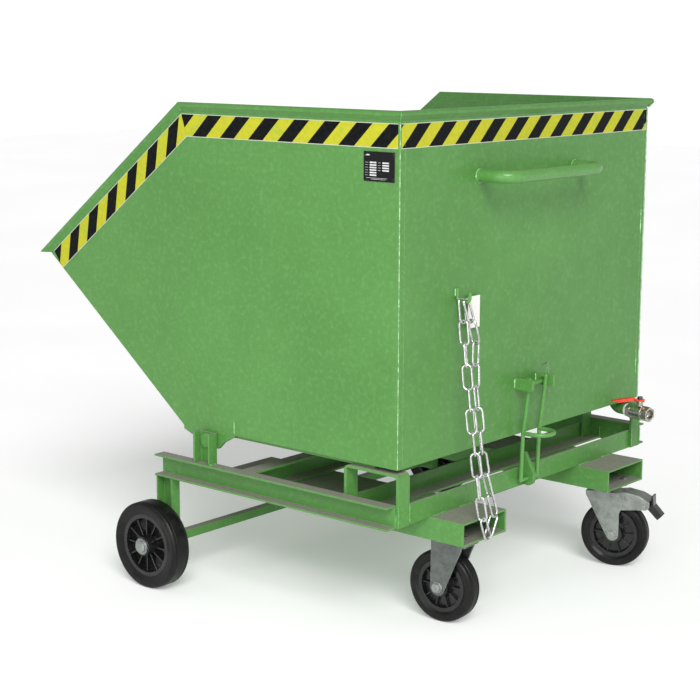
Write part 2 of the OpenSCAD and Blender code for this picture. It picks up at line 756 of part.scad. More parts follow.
module castor_fork_left() { color(zinc) castor(-1) fork(leg_left, false); }
module castor_fork_right() { color(zinc) castor(1) fork(leg_right, true); }

// axle bolt with its head and nut
module castor_bolt() {
    w = leg_gap / 2 + 4;
    rod_y(trail, castor_z, 12, -w - 9, w + 2);
    translate([trail, w + 2, castor_z]) rotate([-90, 0, 0]) cylinder(h = 8, d = 21, $fn = 6);
    rod_y(trail, castor_z, 24, w, w + 2);
    translate([trail, -w, castor_z]) rotate([90, 0, 0]) difference() {
        union() { cylinder(h = 2, d = 24); cylinder(h = 8.5, d = 21, $fn = 6); }
        translate([0, 0, -1]) cylinder(h = 12, d = 12);
    }
}
module castor_axle_left() { color(zinc) castor(-1) mirror([0, 1, 0]) castor_bolt(); }
module castor_axle_right() { color(zinc) castor(1) castor_bolt(); }

module castor_wheel() { translate([trail, 0, castor_z]) children(); }
module castor_rim_left() { color(black) castor(-1) castor_wheel() rim(116, castor_w, 46, 12.1, 10); }
module castor_rim_right() { color(black) castor(1) castor_wheel() rim(116, castor_w, 46, 12.1, 10); }
module castor_tyre_left() { color(black) castor(-1) castor_wheel() tyre(castor_d, castor_w, 116); }
module castor_tyre_right() { color(black) castor(1) castor_wheel() tyre(castor_d, castor_w, 116); }

// foot pedal of the wheel and swivel brake, with a release lip
module brake_pedal() {
    color(black) castor(1) difference() {
        slab(-13, 13) polygon([[101, 162], [108, 149], [118, 147], [141, 124], [152, 135], [131, 158],
            [129.5, 181], [125.5, 181], [124.5, 162]]);
        rod_y(pedal_pin[0], pedal_pin[1], 6.1, -20, 20);
    }
}

// pedal pin with its washers, and the rivet heads of the brake
module brake_pin() {
    w = leg_gap / 2 + 4;
    color(zinc) castor(1) {
        rod_y(pedal_pin[0], pedal_pin[1], 6, -w - 1, w + 1);
        for (s = [-1, 1]) {
            rod_y(pedal_pin[0], pedal_pin[1], 11, s > 0 ? w : -w - 3, s > 0 ? w + 3 : -w);
            rod_y(59, 169, 10, s > 0 ? w : -w - 3, s > 0 ? w + 3 : -w);
        }
    }
}

tank_side_left();
tank_side_right();
tank_shell();
tank_rim();
lip_bar();
floor_skids();
pivot_lugs();
pivot_pins();
hazard_tape();
rating_plate();
plate_rivets();
push_handle();
chain_hook();
catch_plates();
catch_bar();
drain_strainer();
drain_elbow();
pipe_seal();
valve_body();
valve_ball();
valve_stem();
valve_lever();
lever_nut();
rail_left();
rail_right();
cross_front();
cross_rear();
rear_plate();
fork_pocket_left();
fork_pocket_right();
pivot_posts();
rest_brackets();
wheel_legs();
axle_bar();
axle_caps();
latch_lug();
latch_bail();
latch_clip();
safety_chain();
chain_tag();
front_tyre_left();
front_rim_left();
front_tyre_right();
front_rim_right();
castor_plates();
castor_bolts();
castor_fork_left();
castor_axle_left();
castor_rim_left();
castor_tyre_left();
castor_fork_right();
castor_axle_right();
castor_rim_right();
castor_tyre_right();
brake_pedal();
brake_pin();
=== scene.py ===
import json
import math
import random

import bmesh
import bpy
from mathutils import Euler, Matrix, Vector


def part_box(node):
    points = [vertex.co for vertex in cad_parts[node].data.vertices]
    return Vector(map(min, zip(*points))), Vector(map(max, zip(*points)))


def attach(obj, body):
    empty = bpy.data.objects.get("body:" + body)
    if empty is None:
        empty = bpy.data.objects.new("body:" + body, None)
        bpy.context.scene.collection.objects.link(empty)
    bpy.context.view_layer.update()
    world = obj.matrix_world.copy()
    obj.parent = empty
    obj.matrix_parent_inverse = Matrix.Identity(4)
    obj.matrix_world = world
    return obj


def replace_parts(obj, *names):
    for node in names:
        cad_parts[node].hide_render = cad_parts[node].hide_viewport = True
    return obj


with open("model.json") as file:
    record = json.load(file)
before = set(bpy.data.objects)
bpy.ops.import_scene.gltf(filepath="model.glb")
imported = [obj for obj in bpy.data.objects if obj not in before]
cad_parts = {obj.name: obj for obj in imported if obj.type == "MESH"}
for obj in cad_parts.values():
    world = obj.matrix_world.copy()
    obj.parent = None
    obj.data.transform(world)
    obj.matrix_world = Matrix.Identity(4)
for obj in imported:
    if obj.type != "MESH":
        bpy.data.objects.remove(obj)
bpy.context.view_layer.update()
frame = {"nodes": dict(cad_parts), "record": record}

NODES = frame["nodes"]
MM = 0.001
random.seed(7)                                   # only the ripples of the welds draw from it

# ---------- places, read from the frame ----------

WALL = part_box("tank_shell")[1].x                 # outside of the rear wall
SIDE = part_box("tank_side_right")[1].y            # outside of the side panels
FLOOR_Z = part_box("tank_shell")[0].z              # underside of the tank
RIM_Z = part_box("tank_side_left")[1].z            # upper edge of the panels
LIP = Vector((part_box("tank_side_left")[0].x, 0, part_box("lip_bar")[0].z))
TOP_LEN = 615 * MM                               # level part of the upper edge
BEND_X = WALL - TOP_LEN
FALL = math.atan2(RIM_Z - LIP.z, BEND_X - LIP.x)  # slope of the falling edge
FLOOR_LEN = 622 * MM                             # level part of the tank's floor
SHEET = 3 * MM                                   # thickness of the tank's walls
SEAM_Y = SIDE - 16 * MM                          # upright seams of the rear wall
CHASSIS_NODES = frame["record"]["behaviour"]["bodies"]["chassis"]

# ---------- warning tape ----------

TAPE = 50 * MM                                   # width
TAPE_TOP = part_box("hazard_tape")[1].z            # upper edge on the level runs
TAPE_LIFT = 0.35 * MM                            # how far it stands off the sheet
TAPE_WAVE, TAPE_STEP = 0.12 * MM, 20 * MM        # height of its waves, length of its faces
TAPE_BORDER = 1.5 * MM                           # pale border along each edge
TAPE_GAP = 5 * MM                                # from the rear wall to the level runs
TAPE_LIP_GAP = 6 * MM                            # from the lip to the falling runs
STRIPE_PERIOD = 82 * MM                          # along the tape: the slant is 45 degrees
# where the stripes start on each run, and how far each run stretches them
LEFT_PHASE, LEFT_STRETCH = 52 * MM, 84.3 / 82
SLOPE_PHASE, SLOPE_STRETCH = 17.8 * MM, 86 / 82  # phase counted from the bend
REAR_STRETCH = 87 / 82
RIGHT_PHASE, RIGHT_SLOPE_PHASE = 20 * MM, 10 * MM

# ---------- radii of the weld beads ----------

HEAVY, BROAD, PLAIN, SLIM = 2.6 * MM, 2.4 * MM, 2.2 * MM, 2.0 * MM
RIM_CORNER, RIM_BEND, SEAM, FOLD = 1.9 * MM, 1.7 * MM, 1.3 * MM, 1.0 * MM
SEAM_GLINT, RING_GLINT, HOOK = 1.7 * MM, 1.6 * MM, 1.6 * MM
RIPPLE = 3.2 * MM                                # length of one drop of a bead

# ---------- light and camera ----------

HORIZON, SKY = 1.05, 0.42                        # brightness of the horizon and of the upper sky
FADE_FROM, FADE_TO = 0.09, 0.2                   # heights between which one turns into the other
SUN_POWER, SUN_ANGLE = 2.45, math.radians(30)
SUN_DIRECTION = (-0.60, 0.52, -0.60)
FLOOR_SIZE, FLOOR_GLOW = 14.0, 0.2
CAMERA_PLACE = (WALL + 2067.0 * MM, -3059.1 * MM, 1248.3 * MM)
CAMERA_TURN = (math.radians(79.3), math.radians(-0.2), math.radians(40.35))
LENS, SENSOR = 86.1, 36.0

# ---------- colours (linear) ----------

PAINT_DEEP, PAINT_LIGHT = (0.070, 0.211, 0.043), (0.084, 0.245, 0.053)
PAINT_PEEL, PAINT_PORES = (0.130, 0.330, 0.090), (0.056, 0.185, 0.037)
# the first is a painted highlight along edges
PAINT_EDGE_HIGHLIGHT, PAINT_SPECKS = (0.20, 0.44, 0.15), (0.34, 0.54, 0.28)
PAINT_GRIME = (0.052, 0.160, 0.036)
# grey for what faces up: dust and a painted sheen
DUST_AND_SHEEN_DARK, DUST_AND_SHEEN_PALE = (0.13, 0.13, 0.105), (0.33, 0.315, 0.27)
WELD_DARK, WELD_LIGHT = (0.075, 0.235, 0.050), (0.13, 0.36, 0.095)
# pale green of the painted highlights on folds and welds
PAINTED_HIGHLIGHT_DIM, PAINTED_HIGHLIGHT_PALE = (0.13, 0.34, 0.095), (0.42, 0.66, 0.36)
# the first is a painted highlight along the zinc's edges
ZINC_EDGE_HIGHLIGHT, ZINC_STAIN = (0.88, 0.89, 0.88), (0.55, 0.52, 0.44)
RUBBER_BLACK, RUBBER_SCUFF = (0.004, 0.004, 0.004), (0.016, 0.0155, 0.0145)
RUBBER_DUST = (0.07, 0.066, 0.06)
# a painted highlight along the edges of plated metal
METAL_EDGE_HIGHLIGHT = (0.95, 0.95, 0.93)
FILM_YELLOW, FILM_YELLOW_WORN = (0.48, 0.465, 0.028), (0.38, 0.40, 0.032)
FILM_BLACK, FILM_BLACK_WORN = (0.004, 0.005, 0.006), (0.012, 0.013, 0.012)
FILM_BORDER, FILM_RUBBED = (0.50, 0.52, 0.44), (0.24, 0.42, 0.06)
CARD_DARK, CARD_PALE, CARD_CREASE = (0.72, 0.70, 0.66), (0.83, 0.82, 0.78), (0.55, 0.52, 0.47)
# the last is a painted highlight along the plate's edges
PLATE_BLACK, PLATE_SCUFF, PLATE_EDGE_HIGHLIGHT = (0.012, 0.012, 0.013), (0.07, 0.07, 0.07), (0.35, 0.36, 0.36)
PRINT_DARK, PRINT_PALE = (0.45, 0.46, 0.46), (0.72, 0.73, 0.73)
FLOOR_DARK, FLOOR_PALE = (0.86, 0.86, 0.86), (0.89, 0.89, 0.89)


# ---------- node trees ----------

class Tree:
    """A material's node tree, built one call at a time."""

    SOCKETS = {
        "color": "Base Color", "rough": "Roughness", "metal": "Metallic", "normal": "Normal",
        "coat": "Coat Weight", "coat_rough": "Coat Roughness", "specular": "Specular IOR Level",
    }

    def __init__(self, name):
        self.material = bpy.data.materials.new(name)
        self.material.use_nodes = True
        self.nodes = self.material.node_tree.nodes
        self.links = self.material.node_tree.links
        self.shader = self.nodes["Principled BSDF"]

    def put(self, value, socket):
        """Links a socket to another, or sets its value."""
        if isinstance(value, bpy.types.NodeSocket):
            self.links.new(value, socket)
        elif value is not None:
            if socket.type == "RGBA" and len(value) == 3:
                value = (*value, 1)
            socket.default_value = value

    def add(self, kind, *values, out=0, **settings):
        """A new node with its first inputs filled in; returns one of its outputs."""
        node = self.nodes.new("ShaderNode" + kind)
        for key, value in settings.items():
            setattr(node, key, value)
        for value, socket in zip(values, node.inputs):
            self.put(value, socket)
        return node.outputs[out]

    def math(self, operation, a, b=None, clamp=False):
        """One sum, product, difference, quotient or fraction."""
        return self.add("Math", a, b, operation=operation, use_clamp=clamp)

    def times(self, a, b):
        return self.math("MULTIPLY", a, b)

    def mix(self, factor, a, b):
        """Colour a, turning into colour b as the factor rises."""
        node = self.nodes.new("ShaderNodeMix")
        node.data_type = "RGBA"
        node.clamp_factor = True
        self.put(factor, node.inputs["Factor"])
        for value, name in ((a, "A"), (b, "B")):
            self.put(value, [s for s in node.inputs if s.name == name and s.type == "RGBA"][0])
        return [s for s in node.outputs if s.type == "RGBA"][0]

    def place(self, stretch=(1, 1, 1)):
        coordinates = self.nodes.new("ShaderNodeTexCoord").outputs["Object"]
        return self.add("Mapping", coordinates, None, None, stretch)

    def noise(self, scale, detail=4.0, rough=0.55, stretch=(1, 1, 1)):
        node = self.nodes.new("ShaderNodeTexNoise")
        self.put(self.place(stretch), node.inputs["Vector"])
        node.inputs["Scale"].default_value = scale
        node.inputs["Detail"].default_value = detail
        node.inputs["Roughness"].default_value = rough
        return node.outputs[0]

    def cells(self, scale, output="Color"):
        node = self.nodes.new("ShaderNodeTexVoronoi")
        self.put(self.place(), node.inputs["Vector"])
        node.inputs["Scale"].default_value = scale
        return node.outputs[output]

    def range(self, value, low, high, to_low=0.0, to_high=1.0):
        """A smooth step from to_low at low to to_high at high."""
        return self.add("MapRange", value, low, high, to_low, to_high, interpolation_type="SMOOTHSTEP")

    def bump(self, height, strength, distance, normal=None):
        node = self.nodes.new("ShaderNodeBump")
        node.inputs["Strength"].default_value = strength
        node.inputs["Distance"].default_value = distance
        self.put(height, node.inputs["Height"])
        self.put(normal, node.inputs["Normal"])
        return node.outputs[0]

    def soft_edges(self, radius):
        """A normal that rounds edges, and a mask that is 1 along them."""
        bevel = self.add("Bevel", radius, samples=6)
        plain = self.nodes.new("ShaderNodeNewGeometry").outputs["Normal"]
        agree = self.nodes.new("ShaderNodeVectorMath")
        agree.operation = "DOT_PRODUCT"
        self.links.new(bevel, agree.inputs[0])
        self.links.new(plain, agree.inputs[1])
        return bevel, self.range(agree.outputs["Value"], 0.995, 0.88)

    def finish(self, **sockets):
        for key, value in sockets.items():
            self.put(value, self.shader.inputs[self.SOCKETS[key]])
        return self.material


# ---------- materials ----------

def scaled(colour, factor, plus=0.0):
    return tuple(v * factor + plus for v in colour)


def green_paint(name, dust, shade=1.0, coat=0.14):
    """Sprayed semi-gloss paint: fine peel, slow waves, painted edge highlights, dust and painted sheen
    facing up.
    """
    t = Tree(name)
    rounded, edge = t.soft_edges(1.6 * MM)
    slow = t.noise(3.2, 3.0)
    fine = t.noise(95.0, 5.0)
    base = t.mix(t.range(slow, 0.3, 0.7), scaled(PAINT_DEEP, shade), scaled(PAINT_LIGHT, shade))
    base = t.mix(t.times(t.range(fine, 0.45, 0.75), 0.45), base, PAINT_PEEL)
    pores = t.range(t.noise(240.0, 2.0), 0.5, 0.66)
    base = t.mix(t.times(pores, 0.35), base, PAINT_PORES)
    # paler edges: a painted highlight
    base = t.mix(t.times(edge, 0.5), base, PAINT_EDGE_HIGHLIGHT)
    speck = t.range(t.cells(420.0, output="Distance"), 0.10, 0.04)
    speck = t.times(speck, t.range(t.noise(60.0, 2.0), 0.58, 0.7))
    base = t.mix(t.times(speck, 0.5), base, PAINT_SPECKS)
    # grey on what faces up, more of it as dust rises: dust together with a painted sheen
    up = t.add("SeparateXYZ", t.nodes.new("ShaderNodeTexCoord").outputs["Normal"], out=2)
    patchy = t.range(t.noise(14.0, 6.0, 0.65), 0.05, 0.42)
    dust_and_sheen = t.math("MULTIPLY", t.range(up, 0.7, 0.97), t.times(patchy, dust), clamp=True)
    base = t.mix(dust_and_sheen, base, t.mix(t.noise(170.0, 5.0, 0.7), DUST_AND_SHEEN_DARK, DUST_AND_SHEEN_PALE))
    grime = t.times(t.range(t.noise(7.0, 6.0, 0.7), 0.56, 0.75), 0.22)
    base = t.mix(grime, base, PAINT_GRIME)
    rough = t.range(t.noise(22.0, 4.0), 0.3, 0.7, 0.40, 0.50)
    rough = t.math("ADD", rough, t.times(dust_and_sheen, 0.4), clamp=True)
    peel = t.bump(t.noise(330.0, 2.0), 0.10, 0.5 * MM, rounded)
    waves = t.bump(t.noise(4.5, 2.0), 0.35, 2.5 * MM, peel)
    return t.finish(color=base, rough=rough, normal=waves, specular=0.30, coat=coat, coat_rough=0.12)


def weld_paint():
    """Painted weld: the same green, glossier and darker between the ripples."""
    t = Tree("weld_paint")
    base = t.mix(t.range(t.noise(160.0, 4.0), 0.35, 0.65), WELD_DARK, WELD_LIGHT)
    rough = t.range(t.noise(90.0), 0.3, 0.7, 0.24, 0.38)
    grain = t.bump(t.noise(420.0, 3.0), 0.3, 0.6 * MM)
    return t.finish(color=base, rough=rough, normal=grain, specular=0.5, coat=0.25, coat_rough=0.15)


def painted_highlight():
    """Pale paint as a painted highlight, over a tight fold or a smooth weld where it catches the
    light.
    """
    t = Tree("painted_highlight")
    base = t.mix(t.range(t.noise(120.0, 4.0), 0.4, 0.65), PAINTED_HIGHLIGHT_DIM, PAINTED_HIGHLIGHT_PALE)
    grain = t.bump(t.noise(300.0, 3.0), 0.2, 0.4 * MM)
    return t.finish(color=base, rough=0.22, normal=grain, coat=0.5, coat_rough=0.08)


def galvanised(name, base, scale=42.0, rough_low=0.34, rough_high=0.55):
    """Zinc with a mottled flower pattern, a few dull stains and rounded edges with a painted
    highlight.
    """
    t = Tree(name)
    rounded, edge = t.soft_edges(0.9 * MM)
    flake = t.add("SeparateColor", t.cells(scale * 6))
    cloud = t.noise(scale, 5.0, 0.6)
    pale = tuple(min(1, v) for v in scaled(base, 1.14))
    color = t.mix(t.range(cloud, 0.35, 0.66), scaled(base, 0.62), base)
    color = t.mix(t.times(flake, 0.45), color, pale)
    stain = t.range(t.noise(scale * 0.45, 6.0, 0.7), 0.60, 0.74, 0.0, 0.5)
    color = t.mix(stain, color, tuple(v * c for v, c in zip(base, ZINC_STAIN)))
    # a painted highlight along the edges
    color = t.mix(t.times(edge, 0.6), color, ZINC_EDGE_HIGHLIGHT)
    rough = t.range(cloud, 0.3, 0.7, rough_low, rough_high)
    grain = t.bump(t.noise(260.0), 0.18, 0.4 * MM, rounded)
    return t.finish(color=color, rough=rough, metal=0.88, normal=grain)


def rubber():
    """Black tyre rubber with pale scuffs, a little dust and a fine grain."""
    t = Tree("rubber")
    scuff = t.noise(55.0, 6.0, 0.7)
    color = t.mix(t.range(scuff, 0.45, 0.75), RUBBER_BLACK, RUBBER_SCUFF)
    dust = t.range(t.noise(9.0, 5.0), 0.52, 0.72)
    color = t.mix(t.times(dust, 0.14), color, RUBBER_DUST)
    rough = t.range(scuff, 0.3, 0.7, 0.44, 0.66)
    grain = t.bump(t.noise(520.0, 3.0), 0.25, 0.3 * MM)
    return t.finish(color=color, rough=rough, specular=0.18, coat=0.12, coat_rough=0.16, normal=grain)


def moulded_plastic(name, base, rough=0.33):
    """Moulded plastic with fine grain, flow marks and pale edges that are a painted highlight."""
    t = Tree(name)
    rounded, edge = t.soft_edges(0.8 * MM)
    flow = t.range(t.noise(36.0, 5.0, 0.65), 0.4, 0.75)
    color = t.mix(flow, base, scaled(base, 1.6, 0.006))
    # paler edges: a painted highlight
    color = t.mix(t.times(edge, 0.5), color, scaled(base, 2.0, 0.005))
    spread = t.range(t.noise(70.0, 4.0), 0.3, 0.7, rough - 0.06, rough + 0.12)
    grain = t.bump(t.noise(700.0, 2.0), 0.12, 0.2 * MM, rounded)
    return t.finish(color=color, rough=spread, specular=0.5, normal=grain)


def bright_metal(name, base, rough):
    """Plated metal with fine turning lines and a painted highlight along its edges."""
    t = Tree(name)
    rounded, edge = t.soft_edges(0.5 * MM)
    line = t.noise(220.0, 4.0, 0.6, (1, 1, 0.2))
    color = t.mix(t.range(t.noise(48.0, 5.0), 0.4, 0.7), scaled(base, 0.8), base)
    # a painted highlight along the edges
    color = t.mix(t.times(edge, 0.6), color, METAL_EDGE_HIGHLIGHT)
    spread = t.range(line, 0.3, 0.7, rough, rough + 0.14)
    return t.finish(color=color, rough=spread, metal=1.0, normal=t.bump(line, 0.08, 0.2 * MM, rounded))


def warning_film():
    """Slanting stripes along the tape, with pale borders, rubbed patches and wrinkles."""
    t = Tree("warning_film")
    along = t.add("SeparateXYZ", t.nodes.new("ShaderNodeTexCoord").outputs["UV"])
    across = along.node.outputs["Y"]
    wobble = t.times(t.math("SUBTRACT", t.noise(40.0, 2.0), 0.5), 0.6 * MM)
    slant = t.math("ADD", t.math("SUBTRACT", along, across), wobble)
    phase = t.math("FRACT", t.math("DIVIDE", slant, STRIPE_PERIOD))
    black = t.times(t.range(phase, 0.0, 0.008), t.range(phase, 0.508, 0.50))
    worn = t.range(t.noise(120.0, 6.0, 0.7), 0.35, 0.75)
    color = t.mix(black, t.mix(worn, FILM_YELLOW, FILM_YELLOW_WORN),
                  t.mix(worn, FILM_BLACK, FILM_BLACK_WORN))
    near, far = TAPE_BORDER - 0.2 * MM, TAPE_BORDER + 0.2 * MM
    inside = t.times(t.range(across, near, far), t.range(across, TAPE - near, TAPE - far))
    color = t.mix(inside, FILM_BORDER, color)
    creases = t.math("ADD", t.noise(16.0, 5.0, 0.6), t.times(t.noise(300.0, 2.0), 0.15))
    rubbed = t.times(t.range(t.noise(24.0, 4.0), 0.52, 0.66), t.range(t.noise(260.0, 3.0), 0.47, 0.56))
    on_yellow = t.math("SUBTRACT", 0.6, t.times(black, 0.6))
    color = t.mix(t.times(rubbed, on_yellow), color, FILM_RUBBED)
    rough = t.range(worn, 0.0, 1.0, 0.40, 0.55)
    return t.finish(color=color, rough=rough, specular=0.04, normal=t.bump(creases, 0.35, 0.8 * MM))


def card():
    """Plain card with faint fibres and soft creases."""
    t = Tree("card")
    fibre = t.noise(650.0, 4.0, 0.7)
    color = t.mix(t.range(fibre, 0.35, 0.75), CARD_DARK, CARD_PALE)
    color = t.mix(t.range(t.noise(45.0, 5.0), 0.60, 0.78, 0.0, 0.5), color, CARD_CREASE)
    return t.finish(color=color, rough=0.85, normal=t.bump(t.noise(60.0, 4.0), 0.5, 0.6 * MM))


def printed_plate():
    """Satin black print with light scuffs and a painted highlight along its edges."""
    t = Tree("plate_black")
    rounded, edge = t.soft_edges(0.6 * MM)
    scuff = t.range(t.noise(140.0, 6.0, 0.7, (1, 1, 3)), 0.55, 0.75)
    color = t.mix(t.times(scuff, 0.4), PLATE_BLACK, PLATE_SCUFF)
    # a painted highlight along the edges
    color = t.mix(t.times(edge, 0.5), color, PLATE_EDGE_HIGHLIGHT)
    rough = t.range(scuff, 0.0, 1.0, 0.28, 0.45)
    return t.finish(color=color, rough=rough, specular=0.06, normal=rounded)


def print_white():
    """Slightly uneven pale print."""
    t = Tree("print_white")
    color = t.mix(t.range(t.noise(500.0, 4.0), 0.35, 0.7), PRINT_DARK, PRINT_PALE)
    return t.finish(color=color, rough=0.45, normal=t.bump(t.noise(800.0), 0.1, 0.1 * MM))


def pale_floor():
    """A matt white studio floor with a faint glow that keeps its far end white."""
    t = Tree("pale_floor")
    color = t.mix(t.range(t.noise(1.3, 3.0), 0.3, 0.7), FLOOR_DARK, FLOOR_PALE)
    t.shader.inputs["Emission Color"].default_value = (1, 1, 1, 1)
    t.shader.inputs["Emission Strength"].default_value = FLOOR_GLOW
    return t.finish(color=color, rough=0.8, specular=0.1)


MATERIALS = {
    "green_paint": green_paint("green_paint", 0.12),
    "chassis_paint": green_paint("chassis_paint", 0.96),
    # a paler copy of the green: painted light on the small fittings of the rear wall
    "lit_fittings_paint": green_paint("lit_fittings_paint", 0.1, 1.22, 0.4),
    "weld_paint": weld_paint(),
    # pale paint for painted highlights on folds and welds
    "painted_highlight": painted_highlight(),
    "galvanised_steel": galvanised("galvanised_steel", (0.33, 0.355, 0.335)),
    # a darker copy of the zinc: painted shade on the left castor's fork
    "shaded_zinc": galvanised("shaded_zinc", (0.17, 0.185, 0.175)),
    "chain_steel": galvanised("chain_steel", (0.62, 0.63, 0.62), 70.0, 0.16, 0.3),
    "warning_film": warning_film(),
    "plate_black": printed_plate(),
    "print_white": print_white(),
    "white_plastic": moulded_plastic("white_plastic", (0.78, 0.78, 0.74), 0.4),
    "paper": card(),
    "nickel_brass": bright_metal("nickel_brass", (0.55, 0.54, 0.48), 0.24),
    "chrome": bright_metal("chrome", (0.8, 0.8, 0.8), 0.1),
    "red_coat": moulded_plastic("red_coat", (0.62, 0.035, 0.012), 0.26),
    "dark_steel": bright_metal("dark_steel", (0.13, 0.13, 0.13), 0.34),
    "rubber": rubber(),
    "black_plastic": moulded_plastic("black_plastic", (0.005, 0.005, 0.0055), 0.22),
}
# nodes that look different from the rest of their slot
SPECIAL = {
    # the left castor's fork takes the darker copy of the zinc, a painted shade
    "pivot_pins": "chassis_paint", "plate_rivets": "plate_black", "castor_fork_left": "shaded_zinc",
    # the fittings on the rear wall take the paler copy of the green, a painted light
    "latch_bail": "lit_fittings_paint", "catch_plates": "lit_fittings_paint", "catch_bar": "lit_fittings_paint",
    "chain_hook": "lit_fittings_paint", "push_handle": "lit_fittings_paint",
}


def paint_cad_nodes():
    """Each CAD node gets its slot's material, paint with dust and painted sheen on the chassis, or a
    special one.
    """
    for part in frame["record"]["subparts"]:
        obj = NODES[part["node"]]
        slot = part["material_slot"]
        if slot == "green_paint" and part["node"] in CHASSIS_NODES:
            slot = "chassis_paint"
        slot = SPECIAL.get(part["node"], slot)
        obj.data.materials.clear()
        obj.data.materials.append(MATERIALS[slot])


# ---------- mesh pieces ----------

def piece(name, bm, material, body, smooth=True):
    """A visible mesh in one material that rides on a CAD body."""
    bmesh.ops.recalc_face_normals(bm, faces=bm.faces)
    mesh = bpy.data.meshes.new(name)
    bm.to_mesh(mesh)
    bm.free()
    obj = bpy.data.objects.new(name, mesh)
    bpy.context.scene.collection.objects.link(obj)
    mesh.materials.append(MATERIALS[material])
    if smooth:
        mesh.shade_smooth()
    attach(obj, body)
    return obj


def neighbours(items, closed):
    """Each item with the one after it, and the last with the first if the row is closed."""
    return list(zip(items, items[1:] + items[:1])) if closed else list(zip(items, items[1:]))


def drops_along(points, closed, spacing):
    """Evenly spaced places along a path."""
    legs = neighbours([Vector(p) for p in points], closed)
    total = sum((b - a).length for a, b in legs)
    count = max(4, round(total / spacing))
    places = []
    for i in range(count + (0 if closed else 1)):
        left = total * i / count
        for a, b in legs:
            step = (b - a).length
            if left <= step + 1e-9:
                places.append(a.lerp(b, left / step if step else 0))
                break
            left -= step
    return places


def bead(bm, points, radius, closed, sides=8):
    """A weld: a rippled cord of overlapping drops along a path, three rings to a drop."""
    centres = drops_along(points, closed, RIPPLE / 3)
    rings = []
    drift = random.random() * 6
    for i, c in enumerate(centres):
        after = centres[(i + 1) % len(centres)] if closed or i + 1 < len(centres) else c
        before = centres[i - 1] if closed or i else c
        along = (after - before).normalized()
        u = along.orthogonal().normalized()
        v = along.cross(u)
        # each drop thins towards its back, the cord swells and shrinks slowly, and open ends taper
        saw = (i % 3) / 3
        r = radius * (1.0 - 0.22 * saw + 0.10 * math.sin(i * 0.37 + drift))
        if not closed:
            r *= min(1.0, 0.45 + 0.25 * min(i, len(centres) - 1 - i))
        rings.append([bm.verts.new(c + (u * math.cos(k) + v * math.sin(k)) * r)
                      for k in (2 * math.pi * s / sides for s in range(sides))])
    for a, b in neighbours(rings, closed):
        # rings may start at a different angle, so each is matched to its nearest vertex
        shift = min(range(sides), key=lambda s: (a[0].co - b[s].co).length)
        ahead, behind = ((a[1].co - b[(shift + k) % sides].co).length for k in (1, -1))
        turn = -1 if ahead > behind else 1
        for s in range(sides):
            n = (s + 1) % sides
            bm.faces.new((a[s], a[n], b[(shift + turn * n) % sides], b[(shift + turn * s) % sides]))
    if not closed:
        bm.faces.new(rings[0][::-1])
        bm.faces.new(rings[-1])


def weld_group(name, body, beads, material="weld_paint"):
    bm = bmesh.new()
    for points, radius, closed in beads:
        bead(bm, points, radius, closed)
    return piece(name, bm, material, body)


def straight(start, end, radius):
    """One straight bead."""
    return ([start, end], radius, False)


def both(*points, radius):
    """An open bead on the right side and its mirror image on the left."""
    return [(list(points), radius, False), ([(x, -y, z) for x, y, z in points], radius, False)]


def handle_rings(lift, grow, count=28):
    """A circle of points on the rear wall around each end of the push handle."""
    lo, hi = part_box("push_handle")
    tube, z = (hi.z - lo.z) / 2, (lo.z + hi.z) / 2
    axis = Vector((1, 0, 0))
    u = axis.orthogonal().normalized()
    v = axis.cross(u)
    turns = [2 * math.pi * i / count for i in range(count)]
    spokes = [(u * math.cos(a) + v * math.sin(a)) * (tube + grow) for a in turns]
    return [[Vector((WALL + lift, y, z)) + spoke for spoke in spokes]
            for y in (lo.y + tube, hi.y - tube)]


def weld_tank():
    beads = [(ring, HEAVY, True) for ring in handle_rings(0.5 * MM, 0.4 * MM)]
    # upright seams where the wall sheet meets the folded side panels
    seam_x = WALL - 0.9 * MM
    beads += both((seam_x, SEAM_Y, FLOOR_Z + 4 * MM), (seam_x, SEAM_Y, RIM_Z - 2 * MM), radius=SEAM)
    # rim corners and bends
    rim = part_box("tank_rim")[1]
    for s in (-1, 1):
        beads.append(([(WALL + 0.5 * MM, s * (SIDE + 0.5 * MM), RIM_Z - 1 * MM),
                       (rim.x - 0.6 * MM, s * (rim.y - 0.6 * MM), RIM_Z + 10.5 * MM),
                       (rim.x - 1.4 * MM, s * (rim.y - 1.4 * MM), RIM_Z + 17 * MM)],
                      RIM_CORNER, False))
        beads.append(straight((BEND_X, s * (SIDE + 0.4 * MM), RIM_Z),
                              (BEND_X - 3.3 * MM, s * (rim.y - 0.5 * MM), RIM_Z + 11 * MM), RIM_BEND))
    # inside corners of the tank
    inner, floor = SIDE - SHEET, FLOOR_Z + SHEET
    beads += both((WALL - SHEET, inner, RIM_Z - 10 * MM), (WALL - SHEET, inner, floor),
                  (WALL - FLOOR_LEN, inner, floor), (LIP.x + 12 * MM, inner, LIP.z - 6 * MM),
                  radius=PLAIN)
    # lugs under the tank
    lo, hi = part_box("pivot_lugs")
    lug_y, lug_z = SIDE - 8.4 * MM, FLOOR_Z - 0.3 * MM
    beads += both((lo.x + 4 * MM, lug_y, lug_z), (hi.x - 4 * MM, lug_y, lug_z), radius=BROAD)
    return weld_group("tank_welds", "tank", beads)


